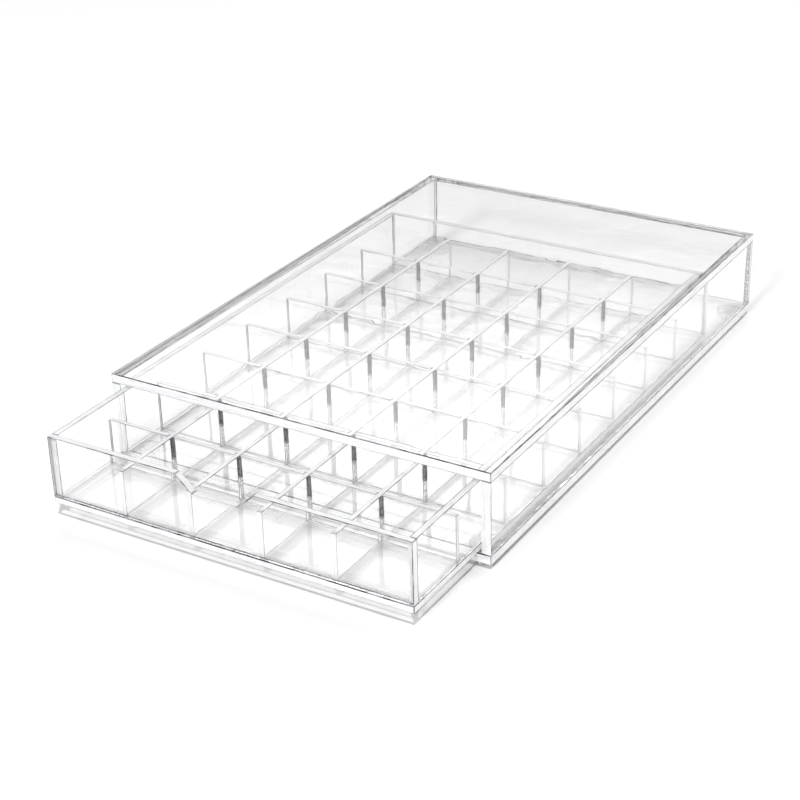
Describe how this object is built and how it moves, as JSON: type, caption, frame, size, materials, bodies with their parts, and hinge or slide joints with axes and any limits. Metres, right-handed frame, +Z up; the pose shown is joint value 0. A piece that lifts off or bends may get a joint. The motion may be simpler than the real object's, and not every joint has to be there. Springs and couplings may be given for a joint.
{
  "type": "coffee pod drawer",
  "caption": "Clear acrylic case, open at the front, with a sliding tray whose crossed dividers hold coffee pods in square compartments.",
  "frame": {"origin": "at table level under the feet, below the middle of the whole footprint with the drawer drawn out by its rest distance", "axes": "+X to the right as seen from the front, +Y from the drawer's front to the case's back, +Z up"},
  "size_m": [0.239, 0.4208, 0.0568],
  "materials": {
    "case_acrylic": "polished",
    "drawer_acrylic": "polished",
    "divider_acrylic": "polished",
    "bumper_foot": "satin"
  },
  "bodies": {
    "case": {"case_base_plate": "case_acrylic", "case_left_side": "case_acrylic", "case_right_side": "case_acrylic", "case_back_panel": "case_acrylic", "case_top_panel": "case_acrylic", "foot_front_left": "bumper_foot", "foot_front_right": "bumper_foot", "foot_back_left": "bumper_foot", "foot_back_right": "bumper_foot"},
    "drawer": {"drawer_bottom_plate": "drawer_acrylic", "drawer_front_panel": "drawer_acrylic", "drawer_back_panel": "drawer_acrylic", "drawer_left_side": "drawer_acrylic", "drawer_right_side": "drawer_acrylic", "lengthwise_divider_1": "divider_acrylic", "lengthwise_divider_2": "divider_acrylic", "lengthwise_divider_3": "divider_acrylic", "lengthwise_divider_4": "divider_acrylic", "cross_divider_1": "divider_acrylic", "cross_divider_2": "divider_acrylic", "cross_divider_3": "divider_acrylic", "cross_divider_4": "divider_acrylic", "cross_divider_5": "divider_acrylic", "cross_divider_6": "divider_acrylic", "cross_divider_7": "divider_acrylic"}
  },
  "joints": [
    {"name": "drawer_slide", "type": "slide", "parent": "case", "child": "drawer", "axis": [0, -1, 0], "range_m": [-0.0594, 0.21]}
  ]
}
